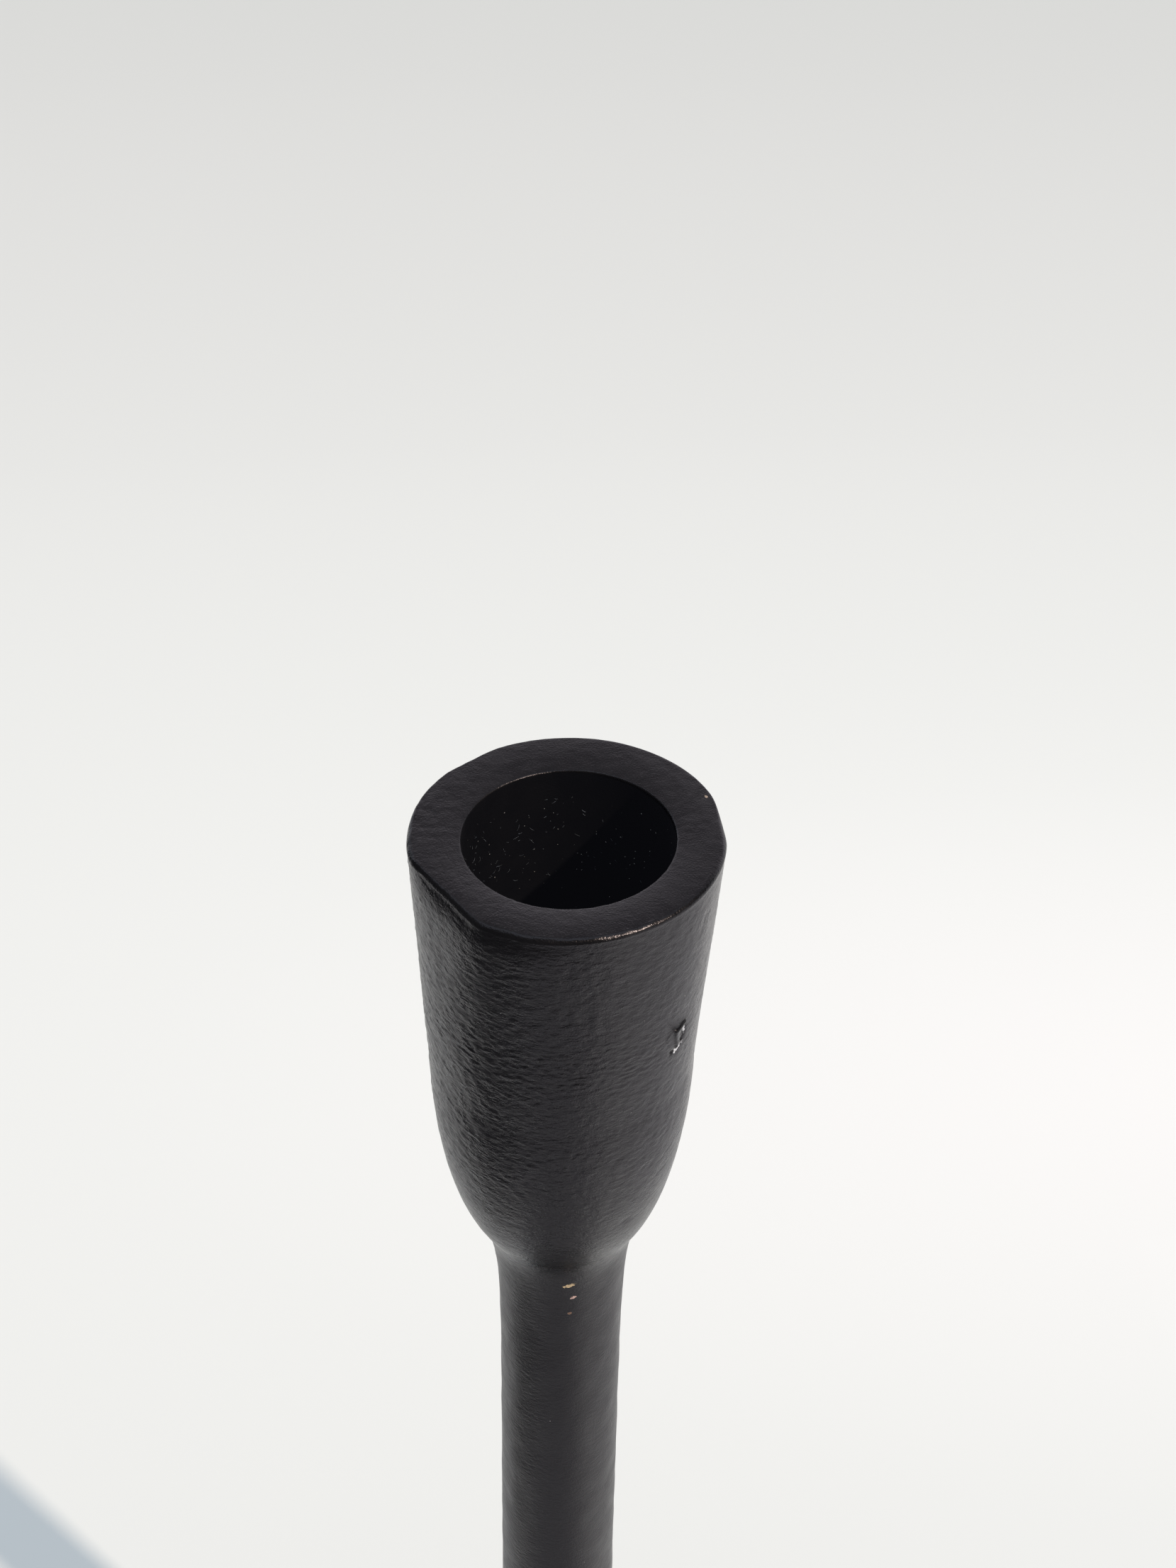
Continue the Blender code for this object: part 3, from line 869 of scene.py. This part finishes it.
def tube_faces(rows, columns, first):
    """Quads between the rings of a tube, whose points are counted on from first."""
    index = first + np.arange(rows * columns).reshape(rows, columns)
    after = np.roll(index, -1, axis=1)
    quads = np.stack([index[:-1], index[1:], after[1:], after[:-1]], -1)
    return quads.reshape(-1, 4).tolist()


random = np.random.default_rng(31)
LINT_IN_SOCKET = 110
bearings = np.radians(random.normal(128.0, 42.0, LINT_IN_SOCKET))
depths = 3.0 + 14.0 * random.beta(1.3, 1.8, LINT_IN_SOCKET)
lengths = 0.15 + 1.2 * random.beta(0.9, 4.0, LINT_IN_SOCKET)
leans = random.uniform(-1.4, 1.4, LINT_IN_SOCKET)
points, faces = [], []
for bearing, depth, length, lean in zip(bearings, depths, lengths, leans):
    inward = -np.array([math.cos(bearing), math.sin(bearing), 0.0])
    around = np.array([-math.sin(bearing), math.cos(bearing), 0.0])
    start = np.array([*SOCKET_OFFSET, RIM_HEIGHT - depth]) - (SOCKET_RADIUS - 0.05) * inward
    along = math.cos(lean) * around + math.sin(lean) * np.array([0.0, 0.0, 1.0])
    curl = inward * random.uniform(0.02, 0.25) + around * random.uniform(-0.2, 0.2)
    faces += tube_faces(LINT_STEPS, LINT_SIDES, len(points) * LINT_STEPS * LINT_SIDES)
    points.append(fibre(start, along, curl * length, length, LINT_RADIUS).reshape(-1, 3))
lint = mesh_object("lint_in_socket", np.concatenate(points), faces, lint_white)
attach(lint, "root")

# ------------------------------------------------------------------ base
# A round plate, sand-cast like the body and sprayed with the same black, domed on top, with
# a flat seat for the stem's foot, a recess for its spigot, and a pocket for the bolt's head.
BASE_RADIUS = 50.0
BASE_UNDERSIDE = 2.3
BASE_EDGE_TOP = 9.0
BASE_EDGE_ROUND = 1.6
SEAT_HEIGHT = 17.0
SEAT_RADIUS = 15.0
RECESS_RADIUS = 5.8
RECESS_FLOOR = 14.5
BOLT_HOLE_RADIUS = 3.3
POCKET_RADIUS = 12.0
POCKET_CEILING = 11.0
BASE_COLUMNS = 216
UNDERSIDE_BROWN = (0.030, 0.027, 0.026, 1.0)


def dome(radius):
    """The dome's height: the edge's height plus a rise that falls off as a parabola from
    the seat to the rounded edge."""
    part = (radius - SEAT_RADIUS) / (BASE_RADIUS - BASE_EDGE_ROUND - SEAT_RADIUS)
    return BASE_EDGE_TOP + (SEAT_HEIGHT - BASE_EDGE_TOP) * (1.0 - part**2)


def turned_ring(profile, columns, push=None):
    """A closed skin from a closed profile of (radius, height) turned about the axis. The
    profile runs outwards over the top. push moves each point along the profile's normal."""
    wrapped = np.concatenate([profile[-1:], profile, profile[:1]])
    along = wrapped[2:] - wrapped[:-2]
    along /= np.linalg.norm(along, axis=1, keepdims=True)
    bearing = np.arange(columns) / columns * 2.0 * math.pi
    radius, height = profile[:, :1], profile[:, 1:]
    points = around_axis(radius, bearing, height)
    if push is not None:
        moved = push(points)
        points[..., 0] -= moved * along[:, 1:] * np.cos(bearing)
        points[..., 1] -= moved * along[:, 1:] * np.sin(bearing)
        points[..., 2] += moved * along[:, :1]
    index = np.arange(points[..., 0].size).reshape(len(profile), columns)
    below, after = np.roll(index, -1, axis=0), np.roll(index, -1, axis=1)
    quads = np.stack([index, below, np.roll(below, -1, axis=1), after], -1)
    return points.reshape(-1, 3), quads.reshape(-1, 4).tolist()


def casting_skin(points):
    """The unevenness of the mould on the base's outside, and none in the machined places."""
    radius = np.hypot(points[..., 0], points[..., 1])
    rough = smooth_step(radius, SEAT_RADIUS - 0.4, SEAT_RADIUS + 1.5)
    broad = 0.10 * grain(points, (14.0, 14.0, 14.0), 41) + 0.05 * grain(points, (5.0, 5.0, 5.0), 42)
    fine = 0.06 * grain(points, (2.0, 2.0, 2.0), 43)
    return rough * (broad + fine - 0.12)


edge = BASE_RADIUS - BASE_EDGE_ROUND
across = np.linspace(SEAT_RADIUS, edge - 0.4, 60)
base_profile = np.concatenate(
    [
        [(RECESS_RADIUS, SEAT_HEIGHT - 0.3)],
        straight((RECESS_RADIUS + 0.3, SEAT_HEIGHT), (SEAT_RADIUS - 0.3, SEAT_HEIGHT), 1.5),
        np.stack([across, dome(across)], -1),
        arc(edge, BASE_EDGE_TOP - BASE_EDGE_ROUND, BASE_EDGE_ROUND, 62, 0, 7),
        arc(edge, BASE_UNDERSIDE + BASE_EDGE_ROUND, BASE_EDGE_ROUND, 0, -90, 8),
        straight((edge - 1.0, BASE_UNDERSIDE), (POCKET_RADIUS + 0.4, BASE_UNDERSIDE), 1.2),
        straight((POCKET_RADIUS, BASE_UNDERSIDE + 0.4), (POCKET_RADIUS, POCKET_CEILING - 0.3), 1.0),
        straight(
            (POCKET_RADIUS - 0.3, POCKET_CEILING), (BOLT_HOLE_RADIUS + 0.2, POCKET_CEILING), 1.2
        ),
        straight(
            (BOLT_HOLE_RADIUS, POCKET_CEILING + 0.2), (BOLT_HOLE_RADIUS, RECESS_FLOOR - 0.2), 0.8
        ),
        straight((BOLT_HOLE_RADIUS + 0.2, RECESS_FLOOR), (RECESS_RADIUS - 0.2, RECESS_FLOOR), 0.8),
        straight((RECESS_RADIUS, RECESS_FLOOR + 0.2), (RECESS_RADIUS, SEAT_HEIGHT - 0.8), 0.7),
    ]
)

base_paint, tree, shader, place = new_material("satin_black_on_base")
cloud = noise(tree, place, 14.0, 3.0)
lumps = noise(tree, place, 2.8, 2.0)
leather = noise(tree, place, 0.8, 3.0, 0.6)
sand = noise(tree, place, 0.25, 2.0, 0.6)
height = node(tree, "ShaderNodeSeparateXYZ", {"Vector": place}).outputs["Z"]
speck = dust_specks(tree, place, 700.0, 0.10, 0.04, 0.985)
colour = mixed(tree, product(tree, speck, 0.7), black_paint(tree, cloud, lumps), DUST_WHITE)
under = between(tree, height, 0.0026, 0.0022)
scuffed = product(tree, under, between(tree, lumps, 0.4, 0.6, 0.0, 0.6))
colour = mixed(tree, scuffed, colour, UNDERSIDE_BROWN)
tree.links.new(colour, shader.inputs["Base Color"])
shader.inputs["Specular Tint"].default_value = PAINT_GLOSS_TINT
dull = between(tree, lumps, 0.3, 0.7, 0.36, 0.46, smooth=False)
tree.links.new(dull, shader.inputs["Roughness"])
bumped(tree, shader, (0.8, 0.00018, leather), (0.5, 0.00004, sand))

base = mesh_object(
    "base_plate", *turned_ring(base_profile, BASE_COLUMNS, casting_skin), base_paint, sharp=50
)
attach(base, "root")
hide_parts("base")

# ------------------------------------------------------------------ bolt and washers
# An M6 hexagon bolt with a flat washer and a split spring washer under its head. It goes up
# through the base into the stem's foot and clamps the two. All are steel, plated with zinc.
HEAD_TOP = 6.9
ACROSS_FLATS = 10.0
BOLT_RADIUS = 3.0
BOLT_END = 26.9
THREAD_PITCH = 1.0
THREAD_DEPTH = 0.55
BOLT_COLUMNS = 48
WASHER_HOLE_RADIUS = 3.3
PLAIN_WASHER = (6.0, 9.1, 10.7)  # radius, underside and top
SPRING_WASHER = (5.8, 7.2, 8.8)
SPLIT_WIDTH = 1.0
SPLIT_SLANT = math.radians(20.0)
ZINC_PALE = (0.62, 0.62, 0.60, 1.0)
ZINC_DARK = (0.50, 0.51, 0.50, 1.0)

zinc, tree, shader, place = new_material("zinc_plated_steel")
spangle = noise(tree, place, 1.6, 3.0)
drawn = noise(tree, place, 0.35, 2.0, 0.6, (1.0, 1.0, 0.25))
colour = mixed(tree, between(tree, spangle, 0.35, 0.7), ZINC_PALE, ZINC_DARK)
tree.links.new(colour, shader.inputs["Base Color"])
shader.inputs["Metallic"].default_value = 1.0
dull = between(tree, spangle, 0.3, 0.7, 0.26, 0.42, smooth=False)
tree.links.new(dull, shader.inputs["Roughness"])
bumped(tree, shader, (0.3, 0.00003, drawn))


def turned_solid(radius, height):
    """A closed skin from a grid of radii and heights, rows by columns, with a middle point
    at each end. The rows run from the top down, and a point's bearing is its column's."""
    rows, columns = radius.shape
    bearing = np.arange(columns) / columns * 2.0 * math.pi
    ring = around_axis(radius, bearing, height)
    middle = [[0.0, 0.0, height[0].mean()], [0.0, 0.0, height[-1].mean()]]
    index = np.arange(rows * columns).reshape(rows, columns)
    after = np.roll(index, -1, axis=1)
    top = np.stack([np.full(columns, rows * columns), index[0], after[0]], -1)
    end = np.stack([np.full(columns, rows * columns + 1), after[-1], index[-1]], -1)
    faces = tube_faces(rows, columns, 0) + top.tolist() + end.tolist()
    return np.concatenate([ring.reshape(-1, 3), middle]), faces


def bolt_surface():
    """The shank's radius falls from crest to root and back once in a pitch along a helix,
    as a flattened triangle wave; the head's radius is the hexagon's, the half width over
    the flats divided by the cosine of the angle from the nearest flat's middle, and no more
    than the turned chamfer's."""
    bearing = np.arange(BOLT_COLUMNS) / BOLT_COLUMNS * 2.0 * math.pi
    shank = np.concatenate(
        [[BOLT_END], np.arange(BOLT_END - 0.05, HEAD_TOP + 0.1, -THREAD_PITCH / 8.0), [HEAD_TOP]]
    )
    helix = (shank[:, None] / THREAD_PITCH - bearing / (2.0 * math.pi)) % 1.0
    wave = np.clip(1.5 * (1.0 - np.abs(2.0 * helix - 1.0)) - 0.2, 0.0, 1.0)
    plain = smooth_step(shank[:, None], HEAD_TOP + 2.2, HEAD_TOP + 1.4)
    radius = BOLT_RADIUS - 0.04 - THREAD_DEPTH * wave * (1.0 - plain)
    tip = BOLT_RADIUS - 0.75 + np.maximum(BOLT_END - shank[:, None], 0.0)
    radius = np.minimum(radius, tip)
    flat = ((bearing + math.pi / 6.0) % (math.pi / 3.0)) - math.pi / 6.0
    hexagon = 0.5 * ACROSS_FLATS / np.cos(flat)
    down = np.array([0.0, 0.0, 0.25, 1.3, 2.6, 3.35, 3.7, 4.0, 4.0])
    limit = np.array([3.0, 5.2, 5.75, 6.2, 6.2, 5.9, 5.4, 4.85, 2.0])
    head = np.minimum(hexagon, limit[:, None])
    heights = np.concatenate([shank, HEAD_TOP - down])
    return np.concatenate([radius, head]), heights[:, None] + 0.0 * bearing


bolt = mesh_object("hex_bolt", *turned_solid(*bolt_surface()), zinc, sharp=35)
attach(bolt, "root")
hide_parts("base_bolt")


def washer_section(radius, low, high, ease=0.2):
    """The section of a punched ring: square, with its outer corners eased."""
    hole = WASHER_HOLE_RADIUS
    return np.array(
        [
            (hole, high - 0.08), (hole + 0.08, high), (radius - ease, high),
            (radius - 0.06, high - 0.09), (radius, high - ease), (radius, low + ease),
            (radius - 0.06, low + 0.09), (radius - ease, low), (hole + 0.08, low),
            (hole, low + 0.08),
        ]
    )


plain_washer = mesh_object(
    "flat_washer", *turned_ring(washer_section(*PLAIN_WASHER), 96), zinc, sharp=35
)
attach(plain_washer, "root")
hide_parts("plain_washer")


def split_ring():
    """The spring washer: its section carried round the axis from one side of the split to
    the other, with each point moved round by its height times the slant, and both ends
    closed by a face of the section."""
    section = washer_section(*SPRING_WASHER)
    middle = 0.5 * (SPRING_WASHER[1] + SPRING_WASHER[2])
    half = 0.5 * SPLIT_WIDTH / SPRING_WASHER[0]
    around = np.linspace(half, 2.0 * math.pi - half, 90)
    radius, height = section[:, 0], section[:, 1]
    bearing = around[:, None] + (height - middle) * math.tan(SPLIT_SLANT) / radius
    points = around_axis(radius, bearing, height)
    index = np.arange(points[..., 0].size).reshape(len(around), len(section))
    below = np.roll(index, -1, axis=1)
    quads = np.stack([index[:-1], below[:-1], below[1:], index[1:]], -1)
    ends = [index[0][::-1].tolist(), index[-1].tolist()]
    return points.reshape(-1, 3), quads.reshape(-1, 4).tolist() + ends


spring_washer = mesh_object("split_washer", *split_ring(), zinc, sharp=35)
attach(spring_washer, "root")
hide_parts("spring_washer")

# ------------------------------------------------------------------ felt pads
# Four discs punched from black pressed wool felt, glued under the base so that it neither
# scratches nor slides. Their edges are a little furry and eased by standing.
FELT_THICKNESS = 2.0
FELT_CIRCLE = 38.0
FELT_COUNT = 4
FELT_COLUMNS = 72
FELT_BLACK = (0.016, 0.016, 0.017, 1.0)
FELT_GREY = (0.045, 0.044, 0.046, 1.0)

felt, tree, shader, place = new_material("black_wool_felt")
matted = noise(tree, place, 0.9, 4.0, 0.7)
hairs = noise(tree, place, 0.16, 3.0, 0.7)
colour = mixed(tree, between(tree, matted, 0.35, 0.7), FELT_BLACK, FELT_GREY)
tree.links.new(colour, shader.inputs["Base Color"])
shader.inputs["Roughness"].default_value = 0.95
shader.inputs["Sheen Weight"].default_value = 0.5
shader.inputs["Sheen Roughness"].default_value = 0.6
bumped(tree, shader, (0.8, 0.00025, maths(tree, "ADD", matted, hairs)))


def felt_disc(number):
    """A disc whose edge swells between its two eased corners, roughened by fine noise on
    its side, and moved to its place on the circle."""
    rows = [(r, FELT_THICKNESS) for r in (2.0, 4.0, 5.6, 6.5)]
    rows += [(6.82, 1.95), (6.92, 1.75), (6.95, 1.4), (6.96, 1.0), (6.94, 0.6), (6.86, 0.28)]
    rows += [(6.7, 0.08), (6.4, 0.0), (5.2, 0.0), (3.4, 0.0), (1.6, 0.0)]
    rows = np.array(rows)
    bearing = np.arange(FELT_COLUMNS) / FELT_COLUMNS * 2.0 * math.pi
    turn = 2.0 * math.pi * number / FELT_COUNT
    centre = FELT_CIRCLE * np.array([math.cos(turn), math.sin(turn), 0.0])
    radius = np.repeat(rows[:, :1], FELT_COLUMNS, 1)
    height = np.repeat(rows[:, 1:], FELT_COLUMNS, 1)
    at = around_axis(radius, bearing, height)
    fuzz = grain(at + centre, (0.55, 0.55, 0.4), 51)
    side = smooth_step(radius, 6.3, 6.8)
    radius = radius + side * (0.05 * fuzz - 0.03)
    points, faces = turned_solid(radius, height)
    return points + centre, faces


for number in range(FELT_COUNT):
    pad = mesh_object(f"felt_disc_{number + 1}", *felt_disc(number), felt, sharp=60)
    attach(pad, "root")
    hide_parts(f"felt_pad_{number + 1}")

# ------------------------------------------------------------------ size and end
low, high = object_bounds()
